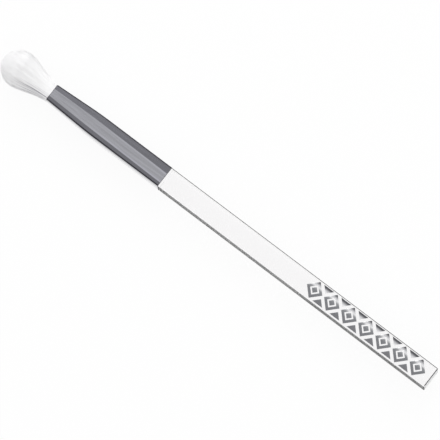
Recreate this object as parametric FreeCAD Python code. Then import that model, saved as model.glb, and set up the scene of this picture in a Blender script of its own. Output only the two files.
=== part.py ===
import FreeCAD, Part
import math
import os

# An eyeshadow brush that lies along X: the tuft points to -X, the butt of the
# handle to +X, and the face with the foil band looks up. The origin is under
# the middle of the brush, level with the lowest hairs of the tuft.

V = FreeCAD.Vector

# Handle: a clear square bar whose front end is cut down to a square tenon.
bar_width = 7.7
bar_length = 111.0
bar_edge_radius = 0.35
tenon_length = 20.0
tenon_chamfer = 0.6

# Ferrule: a thin drawn tube, square in section, that narrows to its mouth.
# Each side has a flat strip down its middle between two slightly sloped flanks.
ferrule_length = 48.0
ferrule_wall = 0.4
ferrule_proud = 0.05
ferrule_crown = 0.18
ferrule_corner_radius = 0.35
ferrule_rim = 0.12
strip_width_share = 0.48
mouth_width = 6.45
mouth_crown = 0.16
taper_length = 18.0
taper_blend = 7.0
blend_steps = 4
least_station_gap = 0.2

# Glue between the tenon and the ferrule, a film that fills the bore. It stops
# short of the tenon's free end and just short of the ferrule's rear rim.
glue_thickness = 0.15
glue_front_setback = 0.8
glue_rear_setback = 0.1

# Tuft: a round teardrop of soft hair with a domed tip, and its roots, which
# fill the mouth of the ferrule and are tied with thread and set in glue.
tuft_length = 20.7
tuft_radius = 6.3
tuft_widest = 13.7
tuft_collar_radius = 3.3
tuft_collar_length = 0.8
root_clearance = 0.02
root_length = 12.0
plug_length = 6.0

# Thread that ties the roots, wound side by side in one layer.
thread_diameter = 0.45
thread_turns = 5
thread_waist_radius = 2.3
thread_end_distance = 2.0

# Foil band let into the top face: nested lozenges, with a triangle at each edge
# of the band between two of them, its slanting sides along theirs.
foil_thickness = 0.3
foil_clearance = 0.05
lozenge_count = 7
lozenge_pitch = 7.1
lozenge_gap = 0.7
lozenge_height = 6.6
ring_stroke = 0.95
heart_gap = 0.5
triangle_height = 2.1
band_end_margin = 2.1

# Shares of the flank's length and rise that steer the two free points of the
# curve from the collar to the widest place, and the round of a quarter ellipse.
flank_length_shares = (0.42, 0.76)
flank_rise_shares = (0.28, 1.0)
round_share = 0.5523

overall_length = tuft_length + ferrule_length + bar_length
tip_x = -overall_length / 2
mouth_x = tip_x + tuft_length
rear_x = mouth_x + ferrule_length
butt_x = rear_x + bar_length
axis_z = tuft_radius
bar_half = bar_width / 2
mouth_half = mouth_width / 2 - mouth_crown
rear_half = bar_half + ferrule_proud
top_z = axis_z + bar_half


def quarter_turns(edges_of_top):
    """The four copies of one side's edges, turned about the brush's axis."""
    edges = []
    for turn in range(4):
        for edge in edges_of_top:
            copy = edge.copy()
            copy.rotate(V(0, 0, axis_z), V(1, 0, 0), 90 * turn)
            edges.append(copy)
    return Part.Wire(Part.__sortEdges__(edges))


def crowned_square(x, half, crown, radius):
    """A square outline in the plane X = x, its corners at half the width from
    the axis, with a raised flat strip along each side and rounded corners."""
    strip = half * strip_width_share
    slope = math.atan2(crown, half - strip)
    reach = radius / math.tan(math.pi / 4 + slope)
    inset = radius / math.sin(math.pi / 4 + slope) - radius
    side_y = half - reach * math.cos(slope)
    side_z = half + reach * math.sin(slope)
    middle = half - inset * math.cos(math.pi / 4)

    def at(y, z):
        return V(x, y, axis_z + z)

    top = [
        Part.makeLine(at(-side_y, side_z), at(-strip, half + crown)),
        Part.makeLine(at(-strip, half + crown), at(strip, half + crown)),
        Part.makeLine(at(strip, half + crown), at(side_y, side_z)),
        Part.Arc(at(side_y, side_z), at(middle, middle), at(side_z, side_y)).toShape(),
    ]
    return quarter_turns(top)


def cut_square(x, half, chamfer):
    """A square outline in the plane X = x with its four corners cut off."""
    flat = half - chamfer
    top = [
        Part.makeLine(V(x, -flat, axis_z + half), V(x, flat, axis_z + half)),
        Part.makeLine(V(x, flat, axis_z + half), V(x, half, axis_z + flat)),
    ]
    return quarter_turns(top)


def body_through(outlines):
    """A solid with straight sides from each outline to the next."""
    return Part.makeLoft(outlines, True, True)


def ferrule_size(distance):
    """Half width at the corners, and crown, at a distance behind the mouth: a
    straight taper that a parabola eases into the straight rear part."""
    start = taper_length - taper_blend / 2
    end = taper_length + taper_blend / 2
    if distance <= start:
        left = taper_length - distance
    elif distance >= end:
        left = 0.0
    else:
        left = (end - distance) ** 2 / (2 * taper_blend)
    share = left / taper_length
    half = rear_half + (mouth_half - rear_half) * share
    crown = ferrule_crown + (mouth_crown - ferrule_crown) * share
    return half, crown


def stations_between(first, last):
    """Distances behind the mouth at which the ferrule's outline changes."""
    start = taper_length - taper_blend / 2
    bends = [start + taper_blend * step / blend_steps for step in range(blend_steps + 1)]
    low = first + least_station_gap
    high = last - least_station_gap
    inner = [bend for bend in bends if low < bend < high]
    return [first] + inner + [last]


def bore_body(first, last, clearance):
    """What fills the bore from one distance behind the mouth to another."""
    outlines = []
    for distance in stations_between(first, last):
        half, crown = ferrule_size(distance)
        inner_half = half - ferrule_wall - clearance
        outlines.append(crowned_square(mouth_x + distance, inner_half, crown, bore_corner_radius))
    return body_through(outlines)


bore_corner_radius = ferrule_corner_radius / 2
bore_half = rear_half - ferrule_wall
tenon_half = bore_half - glue_thickness


def make_ferrule():
    """The tube, with the outer edge of both rims broken by a small chamfer."""
    inside = stations_between(ferrule_rim, ferrule_length - ferrule_rim)
    outlines = []
    for distance, cut in [(0, ferrule_rim)] + [(d, 0) for d in inside] + [(ferrule_length, ferrule_rim)]:
        half, crown = ferrule_size(distance)
        outlines.append(crowned_square(mouth_x + distance, half - cut, crown, ferrule_corner_radius))
    return body_through(outlines).cut(bore_body(0, ferrule_length, 0))


def lozenge(x, y, half_length, half_height, low_z, high_z):
    """An upright prism over a rhombus, its long points along X and Y."""
    corners = [
        V(x - half_length, y, low_z),
        V(x, y - half_height, low_z),
        V(x + half_length, y, low_z),
        V(x, y + half_height, low_z),
    ]
    outline = Part.makePolygon(corners + corners[:1])
    return Part.Face(outline).extrude(V(0, 0, high_z - low_z))


def drawn_in(half_length, half_height, inset):
    """The half diagonals of a rhombus whose sides are moved in by an inset."""
    inradius = half_length * half_height / math.hypot(half_length, half_height)
    share = 1 - inset / inradius
    return half_length * share, half_height * share


def lozenge_centres():
    last = butt_x - band_end_margin - lozenge_pitch / 2
    return [last - lozenge_pitch * step for step in range(lozenge_count)]


def ring_lozenges(grow, high_z):
    """The open outer lozenges, grown all round by a clearance."""
    low_z = top_z - foil_thickness
    half_length = (lozenge_pitch - lozenge_gap) / 2
    half_height = lozenge_height / 2
    outer = drawn_in(half_length, half_height, -grow)
    inner = drawn_in(half_length, half_height, ring_stroke + grow)
    solids = []
    for x in lozenge_centres():
        whole = lozenge(x, 0, outer[0], outer[1], low_z, high_z)
        hole = lozenge(x, 0, inner[0], inner[1], low_z, high_z)
        solids.append(whole.cut(hole))
    return solids


def heart_lozenges(grow, high_z):
    """The solid lozenges in the middle of the open ones."""
    low_z = top_z - foil_thickness
    half_length = (lozenge_pitch - lozenge_gap) / 2
    size = drawn_in(half_length, lozenge_height / 2, ring_stroke + heart_gap - grow)
    return [lozenge(x, 0, size[0], size[1], low_z, high_z) for x in lozenge_centres()]


def edge_triangles(grow, high_z):
    """The triangles between the lozenges, their bases along the band's edges."""
    low_z = top_z - foil_thickness
    half_length = (lozenge_pitch - lozenge_gap) / 2
    half_height = lozenge_height / 2
    side = math.hypot(half_length, half_height)
    apex_y = half_height - triangle_height - grow * side / half_length
    base_y = half_height + grow
    half_base = (base_y - apex_y) * half_length / half_height
    solids = []
    for x in lozenge_centres()[:-1]:
        middle_x = x - lozenge_pitch / 2
        for way in (-1, 1):
            corners = [
                V(middle_x, way * apex_y, low_z),
                V(middle_x - half_base, way * base_y, low_z),
                V(middle_x + half_base, way * base_y, low_z),
            ]
            outline = Part.makePolygon(corners + corners[:1])
            solids.append(Part.Face(outline).extrude(V(0, 0, high_z - low_z)))
    return solids


def make_bar():
    """The square bar with every edge rounded but those at its shoulder."""
    corner = V(rear_x, -bar_half, axis_z - bar_half)
    block = Part.makeBox(bar_length, bar_width, bar_width, corner)
    rounded = [edge for edge in block.Edges if edge.BoundBox.XMax > rear_x + bar_half]
    return block.makeFillet(bar_edge_radius, rounded)


def make_handle():
    """The bar, its tenon, and the pockets for the foil."""
    tenon = body_through([
        cut_square(rear_x - tenon_length, tenon_half - tenon_chamfer, bore_corner_radius),
        cut_square(rear_x - tenon_length + tenon_chamfer, tenon_half, bore_corner_radius),
        cut_square(rear_x, tenon_half, bore_corner_radius),
    ])
    pocket_top = top_z + foil_thickness
    pockets = ring_lozenges(foil_clearance, pocket_top)
    pockets += heart_lozenges(foil_clearance, pocket_top)
    pockets += edge_triangles(foil_clearance, pocket_top)
    return make_bar().fuse(tenon).removeSplitter().cut(Part.makeCompound(pockets))


def make_handle_glue():
    """The film round the tenon."""
    first = ferrule_length - tenon_length + tenon_chamfer + glue_front_setback
    last = ferrule_length - glue_rear_setback
    core = body_through([
        cut_square(mouth_x + first - glue_front_setback, tenon_half, bore_corner_radius),
        cut_square(rear_x, tenon_half, bore_corner_radius),
    ])
    return bore_body(first, last, 0).cut(core)


def thread_place():
    """Distances behind the mouth where the winding starts and ends."""
    end = root_length - thread_end_distance
    return end - thread_diameter * thread_turns, end


def turned(edges):
    """A solid turned about the brush's axis from edges in the XZ plane."""
    face = Part.Face(Part.Wire(edges))
    return face.revolve(V(0, 0, axis_z), V(1, 0, 0), 360)


def make_thread():
    """One layer of thread, its turns seen as bulges side by side."""
    start, end = thread_place()
    low = axis_z + thread_waist_radius
    middle = low + thread_diameter / 2
    start_x = mouth_x + start
    end_x = mouth_x + end
    edges = [
        Part.makeLine(V(end_x, 0, middle), V(end_x, 0, low)),
        Part.makeLine(V(end_x, 0, low), V(start_x, 0, low)),
        Part.makeLine(V(start_x, 0, low), V(start_x, 0, middle)),
    ]
    for turn in range(thread_turns):
        left = start_x + turn * thread_diameter
        crest = V(left + thread_diameter / 2, 0, low + thread_diameter)
        right = V(left + thread_diameter, 0, middle)
        edges.append(Part.Arc(V(left, 0, middle), crest, right).toShape())
    return turned(edges)


def make_tuft():
    """The hair outside the mouth, turned about the axis, and its roots, which
    the thread draws in to a round waist."""
    collar_x = mouth_x - tuft_collar_length
    widest_x = mouth_x - tuft_widest
    mouth_radius = mouth_half + mouth_crown - ferrule_wall - root_clearance
    run = widest_x - collar_x
    rise = tuft_radius - tuft_collar_radius
    dome = tuft_widest - tuft_length

    def at(x, radius):
        return V(x, 0, axis_z + radius)

    flank = [at(collar_x, tuft_collar_radius)]
    for along, up in zip(flank_length_shares, flank_rise_shares):
        flank.append(at(collar_x + run * along, tuft_collar_radius + rise * up))
    flank.append(at(widest_x, tuft_radius))
    crown = [
        at(widest_x, tuft_radius),
        at(widest_x + dome * round_share, tuft_radius),
        at(tip_x, tuft_radius * round_share),
        at(tip_x, 0),
    ]
    flank_curve = Part.BezierCurve()
    flank_curve.setPoles(flank)
    crown_curve = Part.BezierCurve()
    crown_curve.setPoles(crown)
    hair = turned([
        Part.makeLine(at(mouth_x, 0), at(mouth_x, mouth_radius)),
        Part.makeLine(at(mouth_x, mouth_radius), at(collar_x, tuft_collar_radius)),
        flank_curve.toShape(),
        crown_curve.toShape(),
        Part.makeLine(at(tip_x, 0), at(mouth_x, 0)),
    ])
    start, end = thread_place()
    waist_x = mouth_x + start
    width = end - start
    around = Part.makeCylinder(bar_width, width, V(waist_x, 0, axis_z), V(1, 0, 0))
    waist = Part.makeCylinder(thread_waist_radius, width, V(waist_x, 0, axis_z), V(1, 0, 0))
    roots = bore_body(0, root_length, root_clearance).cut(around.cut(waist))
    return hair.fuse(roots).removeSplitter()


def make_plug():
    """The glue that locks the ends of the roots into the ferrule."""
    return bore_body(root_length, root_length + plug_length, 0)


def write(node, shape):
    shape.exportStep("parts/" + node + ".step")
    box = shape.BoundBox
    print(node, len(shape.Solids), "solids,", round(shape.Volume, 3), "mm3, valid", shape.isValid(),
          "x", round(box.XMin, 2), round(box.XMax, 2), "z", round(box.ZMin, 2), round(box.ZMax, 2))


os.makedirs("parts", exist_ok=True)
write("bristle_tuft", make_tuft())
write("root_binding", make_thread())
write("root_glue_plug", make_plug())
write("ferrule_tube", make_ferrule())
write("handle_glue", make_handle_glue())
write("handle_bar", make_handle())
write("foil_lozenge_rings", Part.makeCompound(ring_lozenges(0, top_z)))
write("foil_lozenge_hearts", Part.makeCompound(heart_lozenges(0, top_z)))
write("foil_triangles", Part.makeCompound(edge_triangles(0, top_z)))
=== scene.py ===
import bmesh
import bpy
import numpy as np
from mathutils import Matrix, Vector


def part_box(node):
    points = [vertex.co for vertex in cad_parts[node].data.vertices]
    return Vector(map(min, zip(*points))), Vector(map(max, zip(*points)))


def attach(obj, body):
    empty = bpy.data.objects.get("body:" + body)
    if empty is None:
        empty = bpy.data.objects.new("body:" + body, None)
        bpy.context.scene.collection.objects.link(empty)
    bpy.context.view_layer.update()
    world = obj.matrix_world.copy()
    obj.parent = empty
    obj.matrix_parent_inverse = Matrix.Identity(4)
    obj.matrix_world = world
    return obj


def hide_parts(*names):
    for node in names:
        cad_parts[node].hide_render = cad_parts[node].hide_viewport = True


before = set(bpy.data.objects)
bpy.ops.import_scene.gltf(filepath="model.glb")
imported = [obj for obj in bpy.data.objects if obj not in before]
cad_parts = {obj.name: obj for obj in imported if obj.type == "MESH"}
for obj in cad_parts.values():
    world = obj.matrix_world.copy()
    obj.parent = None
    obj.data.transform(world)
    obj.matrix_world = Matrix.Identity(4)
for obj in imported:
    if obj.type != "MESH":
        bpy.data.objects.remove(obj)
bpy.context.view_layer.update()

mm = 0.001
fullTurn = 2 * np.pi

# A noise mostly stays between these two values.
noiseLow = 0.3
noiseHigh = 0.7

# Where things are, read from the frame, in metres.
tuftLow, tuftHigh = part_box("bristle_tuft")
ferruleLow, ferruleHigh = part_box("ferrule_tube")
barLow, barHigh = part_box("handle_bar")
tipX = tuftLow.x
mouthX = ferruleLow.x
rearX = ferruleHigh.x
buttX = barHigh.x
axisZ = (tuftLow.z + tuftHigh.z) / 2
tuftRadius = (tuftHigh.z - tuftLow.z) / 2
tuftLength = mouthX - tipX
barHalf = barHigh.z - axisZ
ferruleHalf = ferruleHigh.z - axisZ
print("frame read: brush", round((buttX - tipX) / mm, 1), "mm long")


# A mesh from whole arrays of points and faces, turned so that its faces point
# outwards, and riding on the brush's one body.
def meshPiece(name, points, faces, materials, slot, replaced, smooth=True, faceMaterials=None):
    mesh = bpy.data.meshes.new(name)
    mesh.from_pydata(points.tolist(), [], faces)
    mesh.update()
    solid = bmesh.new()
    solid.from_mesh(mesh)
    if solid.calc_volume(signed=True) < 0:
        mesh.flip_normals()
    solid.free()
    mesh.polygons.foreach_set("use_smooth", np.full(len(mesh.polygons), smooth))
    for material in materials:
        mesh.materials.append(material)
    if faceMaterials is not None:
        mesh.polygons.foreach_set("material_index", np.asarray(faceMaterials, dtype=np.int32))
    piece = bpy.data.objects.new(name, mesh)
    bpy.context.scene.collection.objects.link(piece)
    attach(piece, "root")
    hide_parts(*replaced)
    return piece


# One number for each point of a piece, kept under a name for its material to read.
def pointValues(piece, name, values):
    attribute = piece.data.attributes.new(name, "FLOAT", "POINT")
    attribute.data.foreach_set("value", np.asarray(values, dtype=np.float32).ravel())


# Quads between neighbours on a grid of points that may join up at its ends.
def gridFaces(rows, columns, closeRows, closeColumns):
    row = np.arange(rows if closeRows else rows - 1)
    column = np.arange(columns if closeColumns else columns - 1)
    rowGrid, columnGrid = np.meshgrid(row, column, indexing="ij")
    nextRow = (rowGrid + 1) % rows
    nextColumn = (columnGrid + 1) % columns
    corners = [
        rowGrid * columns + columnGrid,
        rowGrid * columns + nextColumn,
        nextRow * columns + nextColumn,
        nextRow * columns + columnGrid,
    ]
    return np.stack([corner.ravel() for corner in corners], axis=1)


# The two many-sided faces that close the first and the last row of a grid.
def endFaces(rows, columns):
    around = np.arange(columns)
    return [around[::-1].tolist(), (around + (rows - 1) * columns).tolist()]


# A node material: one principled shader, with helpers that add nodes and link them.
class Finish:
    def __init__(self, name):
        self.material = bpy.data.materials.new(name)
        self.material.use_nodes = True
        self.tree = self.material.node_tree
        self.tree.nodes.clear()
        self.output = self.tree.nodes.new("ShaderNodeOutputMaterial")
        self.shader = self.add("ShaderNodeBsdfPrincipled")
        self.join(self.shader, "BSDF", self.output, "Surface")

    def add(self, kind, **values):
        node = self.tree.nodes.new(kind)
        for key, value in values.items():
            setattr(node, key, value)
        return node

    def join(self, source, outName, target, inName):
        self.tree.links.new(source.outputs[outName], target.inputs[inName])

    def set(self, **values):
        for key, value in values.items():
            self.shader.inputs[key.replace("_", " ")].default_value = value

    # Noise on object coordinates, with a scale for each axis in bumps per metre.
    def noise(self, scales, detail=3.0, roughness=0.6):
        place = self.add("ShaderNodeTexCoord")
        mapping = self.add("ShaderNodeMapping")
        mapping.inputs["Scale"].default_value = scales
        noise = self.add("ShaderNodeTexNoise")
        noise.inputs["Scale"].default_value = 1.0
        noise.inputs["Detail"].default_value = detail
        noise.inputs["Roughness"].default_value = roughness
        self.join(place, "Object", mapping, "Vector")
        self.join(mapping, "Vector", noise, "Vector")
        return noise

    # A colour ramp with stops of (place, colour).
    def ramp(self, source, outName, stops):
        ramp = self.add("ShaderNodeValToRGB")
        elements = ramp.color_ramp.elements
        while len(elements) < len(stops):
            elements.new(0.5)
        for element, (place, colour) in zip(elements, stops):
            element.position = place
            element.color = (*colour, 1)
        self.join(source, outName, ramp, "Fac")
        return ramp

    # The source's range mapped onto another range; both are clamped at their ends.
    def spread(self, source, outName, low, high, fromLow=0.0, fromHigh=1.0):
        node = self.add("ShaderNodeMapRange")
        node.inputs["From Min"].default_value = fromLow
        node.inputs["From Max"].default_value = fromHigh
        node.inputs["To Min"].default_value = low
        node.inputs["To Max"].default_value = high
        self.join(source, outName, node, "Value")
        return node

    # A colour times a number, on the shader's colour.
    def tint(self, ramp, factor):
        scale = self.add("ShaderNodeVectorMath", operation="SCALE")
        self.join(ramp, "Color", scale, 0)
        self.tree.links.new(factor, scale.inputs["Scale"])
        self.join(scale, "Vector", self.shader, "Base Color")

    # Arithmetic on two sockets or numbers.
    def maths(self, operation, first, second):
        node = self.add("ShaderNodeMath", operation=operation)
        for place, value in enumerate((first, second)):
            if isinstance(value, (int, float)):
                node.inputs[place].default_value = value
            else:
                self.tree.links.new(value, node.inputs[place])
        return node.outputs[0]

    def bump(self, source, outName, strength, distance):
        bump = self.add("ShaderNodeBump")
        bump.inputs["Strength"].default_value = strength
        bump.inputs["Distance"].default_value = distance
        self.join(source, outName, bump, "Height")
        self.join(bump, "Normal", self.shader, "Normal")


# Camera: long lens, almost straight down, leaning a little to the butt and to
# the near side, and rolled so that the brush runs from upper left to lower right.
view = {
    "distance": 1.5,
    "leanToButt": np.radians(8.5),
    "leanToNearSide": np.radians(7.0),
    "lookPastMiddle": 1.76 * mm,
    "lookAside": 0.05 * mm,
    "axisSlope": np.radians(37.04),
    "pixelsPerMetre": 3010.0,
    "picturePixels": 440,
    "sensorWidth": 36.0,
    "nearClip": 0.01,
    "farClip": 20.0,
}


def makeCamera(s):
    toCamera = Vector((np.sin(s["leanToButt"]), -np.sin(s["leanToNearSide"]), 0))
    toCamera.z = np.sqrt(1 - toCamera.length_squared)
    along = Vector((1, 0, 0))
    along = (along - toCamera * along.dot(toCamera)).normalized()
    across = toCamera.cross(along)
    right = along * np.cos(s["axisSlope"]) + across * np.sin(s["axisSlope"])
    up = across * np.cos(s["axisSlope"]) - along * np.sin(s["axisSlope"])
    camera = bpy.data.objects.new("camera", bpy.data.cameras.new("camera"))
    place = Vector((s["lookPastMiddle"], s["lookAside"], axisZ)) + toCamera * s["distance"]
    turn = Matrix((right, up, toCamera)).transposed().to_4x4()
    camera.matrix_world = Matrix.Translation(place) @ turn
    focalPixels = s["distance"] * s["pixelsPerMetre"]
    camera.data.sensor_width = s["sensorWidth"]
    camera.data.lens = focalPixels * s["sensorWidth"] / s["picturePixels"]
    camera.data.clip_start = s["nearClip"]
    camera.data.clip_end = s["farClip"]
    bpy.context.scene.collection.objects.link(camera)
    bpy.context.scene.camera = camera


makeCamera(view)
print("camera placed")

# Studio: a white floor that keeps a faint shadow, a surround and two soft lamps. The
# surround's strength at the horizon and overhead, and the heights between which it
# changes, are given for soft light, for gloss and for the clear handle.
studio = {
    "floorSide": 6.0,
    "floorColour": (0.9, 0.9, 0.9, 1),
    "floorRoughness": 0.9,
    "floorGlow": 0.93,
    "floorInGlass": 0.97,
    "floorInMirror": 0.3,
    "soft": (0.5, 0.955, 0.0, 1.0),
    "inGloss": (1.0, 0.68, 0.35, 0.9),
    "inGlass": (1.0, 0.08, 0.75, 0.98),
    "lamps": [
        ("keyLamp", (-0.45, 0.85, 0.75), 0.9, 5.0),
        ("fillLamp", (0.5, -0.8, 0.8), 0.9, 1.0),
    ],
}


# A flat square whose own colour shows white to the camera, to brushed metal and
# through the clear handle. In a sharp mirror image it is grey, and that draws the
# handle's lower edge as a dark line.
def makeFloor(s):
    half = s["floorSide"] / 2
    mesh = bpy.data.meshes.new("floor")
    corners = [(-half, -half, 0), (half, -half, 0), (half, half, 0), (-half, half, 0)]
    mesh.from_pydata(corners, [], [(0, 1, 2, 3)])
    floor = bpy.data.objects.new("floor", mesh)
    bpy.context.scene.collection.objects.link(floor)
    finish = Finish("floorPaper")
    finish.set(Base_Color=s["floorColour"], Roughness=s["floorRoughness"], Specular_IOR_Level=0.0)
    glow = finish.add("ShaderNodeEmission")
    path = finish.add("ShaderNodeLightPath").outputs
    through = path["Is Transmission Ray"]
    brushed = finish.maths("SUBTRACT", path["Is Glossy Ray"], path["Is Singular Ray"])
    sharp = finish.maths("MULTIPLY", path["Is Glossy Ray"], path["Is Singular Ray"])
    sharp = finish.maths("MAXIMUM", finish.maths("SUBTRACT", sharp, through), 0.0)
    loss = finish.maths("MULTIPLY", sharp, 1 - s["floorInMirror"])
    finish.tree.links.new(finish.maths("SUBTRACT", 1.0, loss), glow.inputs["Strength"])
    seen = finish.maths("MULTIPLY", path["Is Camera Ray"], s["floorGlow"])
    for other in (brushed, sharp, finish.maths("MULTIPLY", through, s["floorInGlass"])):
        seen = finish.maths("MAXIMUM", seen, other)
    mix = finish.add("ShaderNodeMixShader")
    finish.tree.links.new(seen, mix.inputs["Fac"])
    finish.tree.links.new(finish.shader.outputs["BSDF"], mix.inputs[1])
    finish.tree.links.new(glow.outputs["Emission"], mix.inputs[2])
    finish.join(mix, "Shader", finish.output, "Surface")
    mesh.materials.append(finish.material)


# White to the camera. Gloss and glass see a white horizon that goes over to their
# own grey overhead, and everything else is lit evenly.
def makeWorld(s):
    world = bpy.data.worlds.new("studio")
    bpy.context.scene.world = world
    world.use_nodes = True
    nodes = world.node_tree.nodes
    links = world.node_tree.links
    nodes.clear()
    place = nodes.new("ShaderNodeTexCoord")
    split = nodes.new("ShaderNodeSeparateXYZ")
    links.new(place.outputs["Generated"], split.inputs[0])
    path = nodes.new("ShaderNodeLightPath")

    # Goes from one strength to the other by a ray's kind.
    def choose(rayKind, otherwise, chosen):
        mix = nodes.new("ShaderNodeMix")
        mix.data_type = "FLOAT"
        links.new(path.outputs[rayKind], mix.inputs["Factor"])
        for name, source in (("A", otherwise), ("B", chosen)):
            if isinstance(source, float):
                mix.inputs[name].default_value = source
            else:
                links.new(source, mix.inputs[name])
        return mix.outputs["Result"]

    # Smooth step from the horizon's strength to the one overhead, between two heights.
    def surround(horizon, overhead, start, end):
        height = nodes.new("ShaderNodeMapRange")
        height.interpolation_type = "SMOOTHSTEP"
        height.inputs["From Min"].default_value = start
        height.inputs["From Max"].default_value = end
        height.inputs["To Min"].default_value = horizon
        height.inputs["To Max"].default_value = overhead
        links.new(split.outputs["Z"], height.inputs["Value"])
        return height.outputs["Result"]

    strength = choose("Is Glossy Ray", surround(*s["soft"]), surround(*s["inGloss"]))
    strength = choose("Is Transmission Ray", strength, surround(*s["inGlass"]))
    strength = choose("Is Camera Ray", strength, 1.0)
    background = nodes.new("ShaderNodeBackground")
    background.inputs["Color"].default_value = (1, 1, 1, 1)
    output = nodes.new("ShaderNodeOutputWorld")
    links.new(strength, background.inputs["Strength"])
    links.new(background.outputs["Background"], output.inputs["Surface"])


def makeLamp(name, place, size, watts):
    lamp = bpy.data.objects.new(name, bpy.data.lights.new(name, "AREA"))
    lamp.data.shape = "DISK"
    lamp.data.size = size
    lamp.data.energy = watts
    lamp.location = place
    toBrush = Vector((0, 0, axisZ)) - lamp.location
    lamp.rotation_euler = toBrush.to_track_quat("-Z", "Y").to_euler()
    bpy.context.scene.collection.objects.link(lamp)


makeFloor(studio)
makeWorld(studio)
for lampValues in studio["lamps"]:
    makeLamp(*lampValues)
bpy.context.scene.view_settings.view_transform = "Standard"
print("studio lit")

# Ferrule: drawn gunmetal tube, square in section, with a pale strip on each side. The
# strips, the darker flanks, the highlights along the strips and the nearly black corners
# and rims are reflections painted into the metal's colour.
ferrule = {
    "wall": 0.4 * mm,
    "rearCrown": 0.18 * mm,
    "mouthHalf": 3.065 * mm,
    "mouthCrown": 0.16 * mm,
    "cornerRadius": 0.35 * mm,
    "leastRadius": 0.14 * mm,
    "stripShare": 0.48,
    # The upper side's strip, with its painted reflection, moves off the middle, more towards the
    # rear.
    "stripDrift": (-0.08 * mm, -0.66 * mm),
    "gleams": (0.2, 0.6),
    "gleamInside": 0.3 * mm,
    "gleamWidth": 0.26 * mm,
    "gleamGrows": (15.0 * mm, 27.0 * mm),
    "edgeSoftness": 0.04 * mm,
    "cornerBlend": 0.12 * mm,
    "taperLength": 18.0 * mm,
    "taperBlend": 7.0 * mm,
    "rimRadius": 0.14 * mm,
    "rimShade": 0.12 * mm,
    "darkBelow": -0.5,
    "sidePoints": 60,
    "cornerPoints": 8,
    "lengthSteps": 90,
    "rimSteps": 5,
    # Painted reflections: a highlight inside each strip's edge, the pale strip, the darker flank,
    # and nearly black round corners and rims.
    "paintedHighlightColour": (0.565, 0.565, 0.64),
    "stripReflectionColour": (0.44, 0.443, 0.482),
    "flankReflectionColour": (0.165, 0.165, 0.19),
    "paintedDarkEdgeColour": (0.035, 0.034, 0.042),
    "streakScales": (40, 9000, 9000),
    "streakDetail": (4.0, 0.6),
    "streakTones": (0.86, 1.14),
    "cloudScales": (60, 1600, 1600),
    "cloudDetail": (2.0, 0.5),
    "cloudTones": (0.85, 1.15, 0.2, 0.8),
    "roughness": (0.2, 0.3),
    "bump": (0.1, 0.01 * mm),
    "coatRoughness": 0.06,
    "coatIndex": 1.7,
    "edgeScales": (40, 6000, 6000),
    "edgeTones": (0.7, 1.4),
    "edgeRoughness": 0.45,
    "edgeGloss": 0.12,
}


# Half width and crown at distances behind the mouth: a straight taper that a
# parabola eases into the straight rear part.
def ferruleSize(distance, s):
    start = s["taperLength"] - s["taperBlend"] / 2
    end = s["taperLength"] + s["taperBlend"] / 2
    eased = (end - distance) ** 2 / (2 * s["taperBlend"])
    left = np.where(distance <= start, s["taperLength"] - distance, eased)
    left = np.where(distance >= end, 0.0, left)
    share = left / s["taperLength"]
    rearHalf = ferruleHalf - s["rearCrown"]
    half = rearHalf + (s["mouthHalf"] - rearHalf) * share
    crown = s["rearCrown"] + (s["mouthCrown"] - s["rearCrown"]) * share
    return half, crown


# One outline for each row of half width, crown, radius, drift and shine. On a side, height
# is the corner's height plus a roof that is flat across the strip and slopes down past
# it, with a hyperbola rounding the edge between them; corners are arcs. The drift
# moves the upper side's strip, and the reflection painted on it, off the middle, which
# tilts it a very little. The third result sets the painted light and shade: 1 on the
# strip's pale painted reflection, 0 on the flank's darker one and -1 round the corner,
# which is painted nearly black, and a bell curve times the shine lifts it above 1 just
# inside each edge of the strip, as a painted highlight.
def crownedSquare(half, crown, radius, drift, shine, s):
    half = half[:, None]
    crown = crown[:, None]
    radius = radius[:, None]
    strip = half * s["stripShare"]
    slope = np.arctan2(crown, half - strip)
    centre = half - radius / np.sin(np.pi / 4 + slope) * np.cos(np.pi / 4)
    reach = radius / np.tan(np.pi / 4 + slope)
    sideEnd = half - reach * np.cos(slope)
    turn = np.linspace(0, 1, s["cornerPoints"] + 2)[None, 1:-1]
    angle = slope + (np.pi / 2 - 2 * slope) * turn
    cornerY = centre + radius * np.sin(angle)
    cornerZ = centre + radius * np.cos(angle)
    # Points crowd round the edges of the strip, where the slope changes.
    t = np.linspace(-1, 1, s["sidePoints"])[None, :]
    soft = s["edgeSoftness"]

    # One side and the corner after it.
    def side(shift):
        bend = (strip + np.sign(t) * shift) / sideEnd
        inside = bend * (1 - (1 - 2 * np.abs(t)) ** 2)
        outside = bend + (1 - bend) * (2 * np.abs(t) - 1) ** 2
        y = sideEnd * np.sign(t) * np.where(np.abs(t) < 0.5, inside, outside)
        tilt = shift / strip
        past = np.stack([y - shift - strip, shift - y - strip])
        eased = (past + np.sqrt(past ** 2 + soft ** 2)) / 2
        fall = tilt * (y - shift) + (1 - tilt) * eased[0] + (1 + tilt) * eased[1]
        z = half + crown - np.tan(slope) * fall
        mask = 1 / (1 + np.exp(past.max(axis=0) / (soft / 2)))
        for edge, gleam in zip(past, s["gleams"]):
            bell = np.exp(-((edge + s["gleamInside"]) / s["gleamWidth"]) ** 2)
            mask = mask + gleam * shine[:, None] * bell
        nearCorner = np.clip((np.abs(y) - sideEnd) / s["cornerBlend"] + 1, 0, 1)
        return (np.concatenate([y, cornerY], axis=1), np.concatenate([z, cornerZ], axis=1),
                np.concatenate([mask - nearCorner, np.full(cornerY.shape, -1.0)], axis=1))

    upY, upZ, upMask = side(drift[:, None])
    y, z, mask = side(0)
    ys = np.concatenate([upY, z, -y, -z], axis=1)
    zs = np.concatenate([upZ, -y, -z, y], axis=1)
    return ys, zs, np.concatenate([upMask, mask, mask, mask], axis=1)


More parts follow.
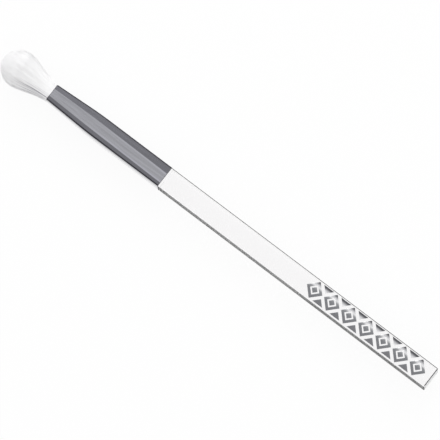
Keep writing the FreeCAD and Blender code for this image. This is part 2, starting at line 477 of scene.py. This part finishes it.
# The wall's profile, carried round the outline: distance behind the mouth and
# depth under the outer face, back along the outside, round the rear rim, forward
# along the bore and round the mouth's rim. Each rim is two quarter circles.
def ferrulePath(s):
    length = rearX - mouthX
    rim = s["rimRadius"]
    wall = s["wall"]
    along = np.linspace(rim, length - rim, s["lengthSteps"])
    angle = np.linspace(0, np.pi / 2, s["rimSteps"] + 1)
    sine = rim * np.sin(angle)
    cosine = rim * np.cos(angle)
    pieces = [
        (along, 0 * along),
        ((length - rim + sine)[1:], (rim - cosine)[1:]),
        (length - rim + cosine, wall - rim + sine),
        (along[::-1][1:], 0 * along[1:] + wall),
        ((rim - sine)[1:], (wall - rim + cosine)[1:]),
        ((rim - cosine)[:-1], (rim - sine)[:-1]),
    ]
    distance = np.concatenate([piece[0] for piece in pieces])
    depth = np.concatenate([piece[1] for piece in pieces])
    return distance, depth


# Metal with fine lengthwise brushing, with light and shade painted into its colour. The
# mask on the mesh tells the pale strips, a painted reflection, from the darker flanks and
# the rounded edges painted dark, and lifts a painted highlight just inside each strip's edge.
def gunmetal(s):
    finish = Finish("gunmetal")
    mask = finish.add("ShaderNodeAttribute", attribute_name="facet")
    top = 1 + max(s["gleams"])
    tones = finish.spread(mask, "Fac", 0, 1, -1, top)
    colours = (s["paintedDarkEdgeColour"], s["flankReflectionColour"], s["stripReflectionColour"], s["paintedHighlightColour"])
    stops = [((value + 1) / (top + 1), colour) for value, colour in zip((-1, 0, 1, top), colours)]
    ramp = finish.ramp(tones, "Result", stops)
    streaks = finish.noise(s["streakScales"], *s["streakDetail"])
    cloud = finish.noise(s["cloudScales"], *s["cloudDetail"])
    lift = finish.spread(streaks, "Fac", *s["streakTones"])
    drift = finish.spread(cloud, "Fac", *s["cloudTones"])
    finish.tint(ramp, finish.maths("MULTIPLY", lift.outputs["Result"], drift.outputs["Result"]))
    rough = finish.spread(streaks, "Fac", *s["roughness"])
    finish.join(rough, "Result", finish.shader, "Roughness")
    finish.bump(streaks, "Fac", *s["bump"])
    finish.set(Metallic=1.0, Coat_Weight=1.0)
    finish.set(Coat_Roughness=s["coatRoughness"], Coat_IOR=s["coatIndex"])
    return finish.material


# The rounded corners and rims, painted nearly black as a dark reflection.
def darkEdge(s):
    finish = Finish("darkEdge")
    streaks = finish.noise(s["edgeScales"])
    low, high = [tuple(c * tone for c in s["paintedDarkEdgeColour"]) for tone in s["edgeTones"]]
    ramp = finish.ramp(streaks, "Fac", [(noiseLow, low), (noiseHigh, high)])
    finish.join(ramp, "Color", finish.shader, "Base Color")
    finish.set(Roughness=s["edgeRoughness"], Specular_IOR_Level=s["edgeGloss"])
    return finish.material


def makeFerrule(s):
    distance, depth = ferrulePath(s)
    half, crown = ferruleSize(distance, s)
    radius = np.maximum(s["cornerRadius"] - depth / 2, s["leastRadius"])
    drift = np.interp(distance, (0, rearX - mouthX), s["stripDrift"])
    shine = np.interp(distance, s["gleamGrows"], (0, 1))
    y, z, mask = crownedSquare(half - depth, crown, radius, drift, shine, s)
    x = np.broadcast_to((mouthX + distance)[:, None], y.shape)
    points = np.stack([x, y, z + axisZ], axis=2).reshape(-1, 3)
    faces = gridFaces(*y.shape, True, True).tolist()
    # Faces whose first point is round a corner or close to a rim get the dark finish, painted
    # nearly black as a dark reflection.
    toRim = np.minimum(distance, distance.max() - distance)[:, None]
    dark = (mask < s["darkBelow"]) | (toRim < s["rimShade"])
    piece = meshPiece("ferruleShell", points, faces, [gunmetal(s), darkEdge(s)], "gunmetal_ferrule",
                      ["ferrule_tube"], faceMaterials=dark.ravel())
    pointValues(piece, "facet", mask)


makeFerrule(ferrule)
print("ferrule made")

# Handle: clear acrylic bar with rounded edges, and its tenon inside the ferrule.
bar = {
    "upperRadius": 0.35 * mm,
    "lowerRadius": 0.06 * mm,
    "leastRadius": 0.02 * mm,
    "arcSteps": 6,
    "holdingEdge": 0.03 * mm,
    "shoulderGap": 0.02 * mm,
    "tenonHalf": 3.35 * mm,
    "tenonCorner": 0.18 * mm,
    "tenonChamfer": 0.6 * mm,
    "refraction": 1.49,
    "flatness": 0.98,
    "faceColour": (0.985, 0.978, 0.982, 1),
    # Painted shade: near black on the rounded upper edges and grey on the upright faces, which draw
    # the handle's dark edge lines.
    "paintedDarkEdgeColour": (0.003, 0.003, 0.003, 1),
    "sideShadeColour": (0.7, 0.7, 0.705, 1),
    "endColour": (0.93, 0.93, 0.935, 1),
    "endRoughness": 0.4,
    "endClearness": 0.6,
    "markScales": (60, 2500, 2500),
    "markBump": (0.02, 0.01 * mm),
}


# Clear acrylic, polished or finely ground, with faint lengthwise marks.
def clearAcrylic(name, colour, s, roughness=0.0, clearness=1.0):
    finish = Finish(name)
    finish.set(Base_Color=colour, Roughness=roughness)
    finish.set(Transmission_Weight=clearness, IOR=s["refraction"])
    finish.bump(finish.noise(s["markScales"]), "Fac", *s["markBump"])
    return finish.material


# A square bar through rows of (x, half width, upper and lower corner radius): each
# corner is a quarter circle about its own centre, with a holding point just past
# each end so that the flat sides stay flat.
def squareBar(rows, s):
    x, half, upper, lower = [np.array(column)[:, None] for column in zip(*rows)]
    angle = np.linspace(0, np.pi / 2, s["arcSteps"] + 1)
    sine = np.concatenate([[0], np.sin(angle), [1]])[None, :]
    cosine = np.concatenate([[1], np.cos(angle), [0]])[None, :]
    hold = np.zeros(sine.shape)
    hold[0, 0] = s["holdingEdge"]
    corners = []
    for radius in (upper, lower):
        y = half - radius + radius * sine - hold
        z = half - radius + radius * cosine - hold[:, ::-1]
        corners.append((y, z))
    (upperY, upperZ), (lowerY, lowerZ) = corners
    turned = [(upperY, upperZ), (lowerZ, -lowerY), (-lowerY, -lowerZ), (-upperZ, upperY)]
    ys = np.concatenate([pair[0] for pair in turned], axis=1)
    zs = np.concatenate([pair[1] for pair in turned], axis=1)
    points = np.stack([np.broadcast_to(x, ys.shape), ys, zs + axisZ], axis=2).reshape(-1, 3)
    return points, gridFaces(*ys.shape, False, True).tolist() + endFaces(*ys.shape)


# Material 1 for the rounded upper edges at the far side and the butt, painted near black
# so that they show as a dark line of painted shade, 2 for the two long upright faces,
# greyed as painted shade, 3 for the butt's end, 0 for the rest.
def sortFaces(piece, s):
    normals = np.empty(len(piece.data.polygons) * 3)
    piece.data.polygons.foreach_get("normal", normals)
    normals = normals.reshape(-1, 3)
    flat = s["flatness"]
    sloping = (normals[:, 2] > 1 - flat) & (normals[:, 2] < flat) & (normals[:, 1] > flat - 1)
    upright = np.abs(normals[:, 1]) > flat
    butt = normals[:, 0] > flat
    kinds = np.where(sloping, 1, np.where(upright, 2, np.where(butt, 3, 0)))
    piece.data.polygons.foreach_set("material_index", kinds.astype(np.int32))


def makeHandle(s):
    materials = [
        clearAcrylic("acrylicFace", s["faceColour"], s),
        clearAcrylic("acrylicEdge", s["paintedDarkEdgeColour"], s),
        clearAcrylic("acrylicSide", s["sideShadeColour"], s),
        clearAcrylic("acrylicEnd", s["endColour"], s, s["endRoughness"], s["endClearness"]),
    ]
    radius = s["upperRadius"]
    lower = s["lowerRadius"]
    hold = s["holdingEdge"]
    shoulder = rearX + s["shoulderGap"]
    rows = [(shoulder, barHalf, radius, lower), (shoulder + hold, barHalf, radius, lower)]
    rows.append((buttX - radius - hold, barHalf, radius, lower))
    for angle in np.linspace(0, np.pi / 2, s["arcSteps"] + 1):
        inset = radius * (1 - np.cos(angle))
        corners = [max(corner - inset, s["leastRadius"]) for corner in (radius, lower)]
        rows.append((buttX - radius + radius * np.sin(angle), barHalf - inset, *corners))
    points, faces = squareBar(rows, s)
    sortFaces(meshPiece("handleBar", points, faces, materials, "clear_acrylic", ["handle_bar"]), s)
    chamfer = s["tenonChamfer"]
    corner = s["tenonCorner"]
    half = s["tenonHalf"]
    ends = [(barLow.x, half - chamfer), (barLow.x + chamfer, half), (rearX, half)]
    points, faces = squareBar([(x, size, corner, corner) for x, size in ends], s)
    meshPiece("handleTenon", points, faces, materials[:1], "clear_acrylic", ["handle_bar"])


makeHandle(bar)
print("handle made")

# Foil band: bevelled silver foil, seven nested lozenges and the triangles between.
foil = {
    "pitch": 7.1 * mm,
    "lozengeGap": 0.7 * mm,
    "height": 6.6 * mm,
    "stroke": 0.95 * mm,
    "heartGap": 0.5 * mm,
    "triangleHeight": 2.1 * mm,
    "thickness": 0.29 * mm,
    "proud": 0.03 * mm,
    "bevel": 0.07 * mm,
    # Painted reflection across the bar: grey, a white highlight, then dark.
    "paintedReflectionStops": [
        (0.08, (0.22, 0.22, 0.235)), (0.50, (0.25, 0.255, 0.27)), (0.60, (0.36, 0.365, 0.38)),
        (0.69, (0.90, 0.90, 0.91)), (0.77, (0.62, 0.62, 0.64)), (0.86, (0.11, 0.11, 0.12)),
    ],
    "grainScales": (900, 2700, 900),
    "grainTones": (0.88, 1.12),
    "roughness": (0.3, 0.5),
    "metallic": 0.7,
}


# Soft silver with a reflection painted in: its tone, across the bar, goes from grey
# through a painted white highlight to dark at the far edge.
def silverFoil(s):
    finish = Finish("silverFoil")
    place = finish.add("ShaderNodeTexCoord")
    split = finish.add("ShaderNodeSeparateXYZ")
    finish.join(place, "Object", split, "Vector")
    across = finish.spread(split, "Y", 0, 1, -barHalf, barHalf)
    ramp = finish.ramp(across, "Result", s["paintedReflectionStops"])
    grain = finish.noise(s["grainScales"])
    finish.tint(ramp, finish.spread(grain, "Fac", *s["grainTones"]).outputs["Result"])
    rough = finish.spread(grain, "Fac", *s["roughness"])
    finish.join(rough, "Result", finish.shader, "Roughness")
    finish.set(Metallic=s["metallic"])
    return finish.material


# Prisms with bevelled tops over straight-sided outlines, all at once. Each row of
# the profile is (inset, height): the outline is drawn in toward its own centre by
# inset over inradius, so its sides move in parallel. A closed profile makes a
# ring; an open one is closed by a face at each end.
def prisms(corners, centres, inradius, profile, closed):
    inset, height = [np.array(column) for column in zip(*profile)]
    share = (1 - inset / inradius)[None, :, None, None]
    flat = centres[:, None, None, :] + corners[:, None, :, :] * share
    z = np.broadcast_to(height[None, :, None, None], flat.shape[:3] + (1,))
    points = np.concatenate([flat, z], axis=3)
    count, rows, columns = points.shape[:3]
    oneFaces = gridFaces(rows, columns, closed, True)
    base = np.arange(count) * rows * columns
    faces = (base[:, None, None] + oneFaces[None]).reshape(-1, 4).tolist()
    if not closed:
        ends = np.array(endFaces(rows, columns))
        faces += (base[:, None, None] + ends[None]).reshape(-1, columns).tolist()
    return points.reshape(-1, 3), faces


def makeFoil(s):
    silver = silverFoil(s)

    def foilPiece(name, node, surface):
        meshPiece(name, *surface, [silver], "silver_foil", [node], smooth=False)

    halfLength = (s["pitch"] - s["lozengeGap"]) / 2
    halfHeight = s["height"] / 2
    side = np.hypot(halfLength, halfHeight)
    inradius = halfLength * halfHeight / side
    ringLow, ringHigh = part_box("foil_lozenge_rings")
    steps = np.arange(round((ringHigh.x - ringLow.x + s["lozengeGap"]) / s["pitch"]))
    lozengeX = ringLow.x + halfLength + s["pitch"] * steps
    centres = np.stack([lozengeX, 0 * lozengeX], axis=1)
    rhombus = np.array([[-halfLength, 0], [0, -halfHeight], [halfLength, 0], [0, halfHeight]])
    top = ringHigh.z
    low = top - s["thickness"]
    proud = top + s["proud"]
    bevel = s["bevel"]
    stroke = s["stroke"]
    ring = [(0, low), (0, top), (bevel, proud)]
    ring += [(stroke - bevel, proud), (stroke, top), (stroke, low)]
    corners = np.broadcast_to(rhombus, (len(steps), 4, 2))
    foilPiece("foilRings", "foil_lozenge_rings", prisms(corners, centres, inradius, ring, True))
    start = stroke + s["heartGap"]
    heart = [(start, low), (start, top), (start + bevel, proud)]
    foilPiece("foilHearts", "foil_lozenge_hearts", prisms(corners, centres, inradius, heart, False))
    # A triangle's incentre lies on its middle line, one inradius in from its base.
    tall = s["triangleHeight"]
    halfBase = tall * halfLength / halfHeight
    slant = np.hypot(halfBase, tall)
    triangleIn = halfBase * tall / (halfBase + slant)
    middleY = halfHeight - triangleIn
    triangle = np.array([[0, triangleIn - tall], [halfBase, triangleIn], [-halfBase, triangleIn]])
    betweenX = lozengeX[:-1] + s["pitch"] / 2
    upper = np.stack([betweenX, 0 * betweenX + middleY], axis=1)
    centres = np.concatenate([upper, upper * (1, -1)])
    flips = np.repeat([1, -1], len(betweenX))
    corners = triangle[None] * np.stack([flips, flips], axis=1)[:, None, :]
    solid = [(0, low), (0, top), (bevel, proud)]
    foilPiece("foilTriangles", "foil_triangles", prisms(corners, centres, triangleIn, solid, False))


makeFoil(foil)
print("foil made")


# Inner pieces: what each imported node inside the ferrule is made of, the bumps per
# metre of its grain, and how far the grain changes its colour.
inner = {
    "root_binding": {"name": "cottonThread", "colour": (0.78, 0.75, 0.68), "roughness": 0.8,
                     "grain": 5000.0, "variation": 0.12, "clearness": 0.0},
    "root_glue_plug": {"name": "epoxyGlue", "colour": (0.75, 0.64, 0.42), "roughness": 0.25,
                       "grain": 700.0, "variation": 0.08, "clearness": 0.0},
    "handle_glue": {"name": "clearGlue", "colour": (0.86, 0.88, 0.9), "roughness": 0.2,
                    "grain": 500.0, "variation": 0.04, "clearness": 0.6},
}
innerBump = (0.2, 0.03 * mm)
innerRoughnessSpread = 0.15
innerDetail = 4.0


# A matt or glossy finish whose colour and gloss vary a little with a fine noise.
def plainFinish(s):
    finish = Finish(s["name"])
    noise = finish.noise((s["grain"],) * 3, innerDetail)
    low = tuple(c * (1 - s["variation"]) for c in s["colour"])
    high = tuple(min(1.0, c * (1 + s["variation"])) for c in s["colour"])
    ramp = finish.ramp(noise, "Fac", [(noiseLow, low), (noiseHigh, high)])
    finish.join(ramp, "Color", finish.shader, "Base Color")
    roughness = s["roughness"]
    spread = roughness * innerRoughnessSpread
    rough = finish.spread(noise, "Fac", roughness - spread, roughness + spread)
    finish.join(rough, "Result", finish.shader, "Roughness")
    finish.set(Transmission_Weight=s["clearness"])
    finish.bump(noise, "Fac", *innerBump)
    return finish.material


for node, nodeValues in inner.items():
    nodeFinish = plainFinish(nodeValues)
    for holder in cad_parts[node].material_slots:
        holder.material = nodeFinish
print("inner pieces dressed")

# Tuft: soft white hairs in a teardrop, in locks, over a plain inner form. The locks'
# grooves are painted grey as shade, most on the near side and underneath.
tuft = {
    "collarRadius": 3.3 * mm,
    "collarLength": 0.8 * mm,
    "mouthHalf": 2.785 * mm,
    "widest": 13.7 * mm,
    "flankAlongShares": (0.42, 0.76),
    "flankRiseShares": (0.28, 1.0),
    "curvePoints": 200,
    "curlIn": 0.5,
    "rootInside": 3.0 * mm,
    "roundedBy": 6.0 * mm,
    "rootSquareness": 0.9,
    "squarePower": 6.0,
    "hairsPerPiece": 4700,
    "segments": 6,
    "domeSegments": 4,
    "segmentPower": 0.9,
    "domeHairLength": 5.5 * mm,
    "thickness": 0.07 * mm,
    "twist": np.radians(25),
    "taperFrom": 0.55,
    "taperPower": 1.5,
    "tipShare": 0.35,
    "tipPoint": 0.6,
    "tipJitter": 0.25 * mm,
    "tipJitterPower": 1.5,
    "skinDepth": 0.02 * mm,
    "wander": 0.06 * mm,
    "wanderY": 4.2 * mm,
    "wanderZ": 5.3 * mm,
    "lockCounts": (13, 23, 37, 61, 97),
    "lockWeights": (0.5, 1.0, 1.0, 0.7, 0.4),
    "lockTwist": 0.05 / mm,
    "lockDepth": 0.25 * mm,
    "lockPull": 0.35,
    "lockOnTop": 0.12,
    "lockFrom": 0.2,
    "lockTo": 0.85,
    "lockUnder": 0.25,
    "lockRise": 1.0 * mm,
    "lockFadeFrom": 0.2,
    "lockFade": 0.85,
    "flyawayShare": 0.03,
    "flyawayLift": 0.4 * mm,
    "coreInset": 0.03 * mm,
    "coreTipInset": 0.12 * mm,
    "coreRows": 110,
    "coreColumns": 540,
    "seed": 41,
    "hairColour": (0.975, 0.973, 0.977),
    # Painted shade: the deepest grooves go over to this grey.
    "grooveShadeColour": (0.37, 0.36, 0.395),
    "grooveStops": (0.1, 0.8),
    "fibreScales": (300, 5200, 5200),
    "fibreTones": (0.97, 1.01, noiseLow, noiseHigh),
    "roughness": (0.5, 0.65),
    "gloss": 0.25,
}


# Outer radius of the tuft at distances in front of the mouth: a straight collar,
# a cubic curve to the widest place, and a quarter ellipse.
def tuftEnvelope(distance, s):
    widest = s["widest"]
    u = np.linspace(0, 1, s["curvePoints"])
    run = widest - s["collarLength"]
    rise = tuftRadius - s["collarRadius"]
    px = [s["collarLength"] + run * share for share in (0, *s["flankAlongShares"], 1)]
    pr = [s["collarRadius"] + rise * share for share in (0, *s["flankRiseShares"], 1)]
    weights = [(1 - u) ** 3, 3 * u * (1 - u) ** 2, 3 * u ** 2 * (1 - u), u ** 3]
    curveX = sum(w * p for w, p in zip(weights, px))
    curveR = sum(w * p for w, p in zip(weights, pr))
    flankX = np.concatenate([[-s["rootInside"], 0.0], curveX])
    flankR = np.concatenate([[s["mouthHalf"], s["mouthHalf"]], curveR])
    flank = np.interp(distance, flankX, flankR)
    q = np.clip((distance - widest) / (tuftLength - widest), 0, 1)
    return np.where(distance < widest, flank, tuftRadius * np.sqrt(1 - q ** 2))


# Radius of a rounded square over that of its inscribed circle, by the root of a sum of
# high powers. It goes over to a circle, which is 1, with the distance from the mouth.
def squareness(angle, distance, s):
    power = s["squarePower"]
    square = (np.abs(np.cos(angle)) ** power + np.abs(np.sin(angle)) ** power) ** (-1 / power)
    amount = s["rootSquareness"] * np.clip(1 - distance / s["roundedBy"], 0, 1)
    return 1 + (square - 1) * amount


# Locks: a sum of waves round the tuft that drift slowly along it, from -1 in a
# groove to 1 on a crest, with the slope of the same sum round the tuft.
def locks(angle, distance, s):
    rng = np.random.default_rng(s["seed"])
    height = 0.0
    slope = 0.0
    for count, weight in zip(s["lockCounts"], s["lockWeights"]):
        phase, drift = rng.random(2) * (fullTurn, 2) - (0, 1)
        wave = count * angle + phase + drift * s["lockTwist"] * distance * np.sqrt(count)
        height = height + weight * np.cos(wave)
        slope = slope - weight * np.sin(wave)
    total = sum(s["lockWeights"]) / 2
    return np.clip(height / total, -1, 1), slope / total


# How strongly the locks show, both in their depth and in the grey shade painted into
# their grooves: not in the mouth, most on the neck, little on the dome, and far more on
# the near side and underneath than on top. The steps are smooth cubics.
def lockStrength(angle, distance, s):
    rise = np.clip(distance / s["lockRise"], 0, 1)
    fall = np.clip((distance / s["widest"] - s["lockFadeFrom"]) / (1 - s["lockFadeFrom"]), 0, 1)
    near = np.clip((-np.sin(angle) - s["lockFrom"]) / (s["lockTo"] - s["lockFrom"]), 0, 1)
    near = np.maximum(near, np.clip(-np.cos(angle) / s["lockUnder"], 0, 1))
    along = rise * (1 - s["lockFade"] * fall * fall * (3 - 2 * fall))
    return along * (s["lockOnTop"] + (1 - s["lockOnTop"]) * near * near * (3 - 2 * near))


# Paths of hairs, one row each. A hair's tip lies on the dome at a share q of the way
# from the widest place to the tip of the tuft. The flow of hairs follows the envelope
# to the widest place and then turns inward by a part of the square of the way, and
# each hair keeps the share of the flow's radius that brings its tip onto the dome's
# ellipse. Locks draw hairs to their crests, a slow wander bends each one, and a few
# fly away from the rest. The second result is how deep in a groove a hair lies, which
# the hair's material paints grey as shade.
def hairPaths(tips, rootDistance, segments, rng, s):
    count = len(tips)
    dome = tuftLength - s["widest"]
    shares = np.sqrt(1 - tips ** 2) / (1 - s["curlIn"] * tips ** 2)
    jitter = s["tipJitter"] * rng.random(count) ** s["tipJitterPower"]
    end = s["widest"] + dome * tips - jitter
    start = np.maximum(end - rootDistance, -s["rootInside"])
    along = np.linspace(0, 1, segments + 1)[None, :] ** s["segmentPower"]
    distance = start[:, None] + (end - start)[:, None] * along
    q = np.clip((distance - s["widest"]) / dome, 0, None)
    turned = tuftRadius * (1 - s["curlIn"] * q ** 2)
    flow = np.where(distance < s["widest"], tuftEnvelope(distance, s), turned)
    angle = rng.random(count)[:, None] * fullTurn
    relief, slope = locks(angle, distance, s)
    strength = lockStrength(angle, distance, s)
    groove = strength * (1 - relief) / 2
    radius = shares[:, None] * flow * squareness(angle, distance, s)
    radius = radius - s["lockDepth"] * groove * shares[:, None] ** 2
    radius = radius - s["skinDepth"] * rng.random(count)[:, None]
    flying = (rng.random(count) < s["flyawayShare"])[:, None]
    lift = s["flyawayLift"] * rng.random(count)[:, None] * np.clip(distance / tuftLength, 0, 1)
    radius = radius + flying * lift
    angle = angle + s["lockPull"] * strength * slope / max(s["lockCounts"])
    phase = rng.random((count, 2)) * fullTurn
    sway = s["wander"] * np.clip(distance / tuftLength, 0, 1)
    bendY = np.sin(distance / s["wanderY"] + phase[:, :1]) * sway
    bendZ = np.sin(distance / s["wanderZ"] + phase[:, 1:]) * sway
    inward = np.hypot(bendY, bendZ) / 2
    x = mouthX - distance
    y = (radius - inward) * np.sin(angle) + bendY
    z = (radius - inward) * np.cos(angle) + bendZ + axisZ
    # The floor flattens the hairs that would go through it.
    return np.stack([x, y, np.maximum(z, s["thickness"] / 2)], axis=2), groove


# Three-sided tapering tubes round the paths, closed at the root and brought to a
# blunt point at the tip. Each has one side turned outwards, give or take a twist:
# its corners stand at three even angles from the outward direction square to the path.
def hairTubes(paths, rng, s):
    count, rings = paths.shape[:2]
    direction = np.gradient(paths, axis=1)
    direction /= np.linalg.norm(direction, axis=2, keepdims=True)
    outward = paths - (0, 0, axisZ)
    outward[:, :, 0] = 0
    sideways = np.cross(direction, outward)
    sideways /= np.linalg.norm(sideways, axis=2, keepdims=True)
    upward = np.cross(sideways, direction)
    along = np.linspace(0, 1, rings)
    thinning = np.clip((along - s["taperFrom"]) / (1 - s["taperFrom"]), 0, 1)
    taper = 1 - (1 - s["tipShare"]) * thinning ** s["taperPower"]
    radius = s["thickness"] / 2 * taper
    twist = s["twist"] * (2 * rng.random(count) - 1)
    angle = ((np.arange(3) + 0.5) * fullTurn / 3 + twist[:, None])[:, None, :, None]
    ring = upward[:, :, None, :] * np.cos(angle) + sideways[:, :, None, :] * np.sin(angle)
    points = paths[:, :, None, :] + ring * radius[None, :, None, None]
    tips = paths[:, -1] + direction[:, -1] * s["thickness"] * s["tipPoint"]
    perHair = rings * 3 + 1
    allPoints = np.concatenate([points.reshape(count, rings * 3, 3), tips[:, None, :]], axis=1)
    base = (np.arange(count) * perHair)[:, None, None]
    quads = (base + gridFaces(rings, 3, False, True)[None]).reshape(-1, 4)
    last = (rings - 1) * 3
    caps = np.array([[2, 1, 0], [last, last + 1, perHair - 1], [last + 1, last + 2, perHair - 1],
                     [last + 2, last, perHair - 1]])
    capFaces = (base + caps[None]).reshape(-1, 3)
    return allPoints.reshape(-1, 3), quads.tolist() + capFaces.tolist()


# White hair: the value on the mesh goes from 0 on crests to 1 in the deepest grooves,
# which are painted greyer as shade, and each fibre differs slightly from the next.
def softHair(s):
    finish = Finish("softHair")
    mask = finish.add("ShaderNodeAttribute", attribute_name="groove")
    colours = (s["hairColour"], s["grooveShadeColour"])
    ramp = finish.ramp(mask, "Fac", list(zip(s["grooveStops"], colours)))
    fibres = finish.noise(s["fibreScales"])
    finish.tint(ramp, finish.spread(fibres, "Fac", *s["fibreTones"]).outputs["Result"])
    rough = finish.spread(fibres, "Fac", *s["roughness"])
    finish.join(rough, "Result", finish.shader, "Roughness")
    finish.set(Specular_IOR_Level=s["gloss"])
    return finish.material


# The inner form: the envelope drawn in, with the locks pressed into it and their
# grooves painted grey as shade, turned round the axis and closed at both ends.
def makeCore(material, s):
    lastDistance = tuftLength - s["coreTipInset"]
    run = np.sin(np.linspace(0, np.pi / 2, s["coreRows"]))[:-1]
    distance = (-s["rootInside"] + (lastDistance + s["rootInside"]) * run)[:, None]
    stretch = (tuftLength - s["widest"]) / (lastDistance - s["widest"])
    beyond = np.maximum(distance - s["widest"], 0)
    outer = tuftEnvelope(np.minimum(distance, s["widest"]) + beyond * stretch, s)
    angle = np.linspace(0, fullTurn, s["coreColumns"], endpoint=False)[None, :]
    relief = locks(angle, distance, s)[0]
    groove = lockStrength(angle, distance, s) * (1 - relief) / 2
    radius = outer * (1 - s["coreInset"] / tuftRadius) * squareness(angle, distance, s)
    radius = radius - s["lockDepth"] * groove
    y = radius * np.sin(angle)
    z = radius * np.cos(angle) + axisZ
    x = np.broadcast_to(mouthX - distance, y.shape)
    points = np.stack([x, y, z], axis=2).reshape(-1, 3)
    faces = gridFaces(*y.shape, False, True).tolist() + endFaces(*y.shape)
    piece = meshPiece("tuftCore", points, faces, [material], "bristle_hair", ["bristle_tuft"])
    pointValues(piece, "groove", groove)


# Tips at even steps of the way along the dome stand equally thick all over it.
def makeTuft(s):
    rng = np.random.default_rng(s["seed"])
    hair = softHair(s)
    makeCore(hair, s)
    whole = tuftLength + s["rootInside"]
    layers = [
        ("tuftSkinHairs", whole, s["segments"]),
        ("tuftOuterHairs", whole, s["segments"]),
        ("tuftShoulderHairs", s["domeHairLength"], s["domeSegments"]),
        ("tuftDomeHairs", s["domeHairLength"], s["domeSegments"]),
        ("tuftTipHairs", s["domeHairLength"], s["domeSegments"]),
    ]
    for place, (name, length, segments) in enumerate(layers):
        tips = (place + rng.random(s["hairsPerPiece"])) / len(layers)
        paths, groove = hairPaths(tips, length, segments, rng, s)
        points, faces = hairTubes(paths, rng, s)
        piece = meshPiece(name, points, faces, [hair], "bristle_hair", ["bristle_tuft"],
                          smooth=False)
        # Each tube's points carry its path's groove value, which the material paints grey as shade.
        perRing = np.repeat(groove, 3, axis=1)
        pointValues(piece, "groove", np.concatenate([perRing, groove[:, -1:]], axis=1))


makeTuft(tuft)
print("tuft made")
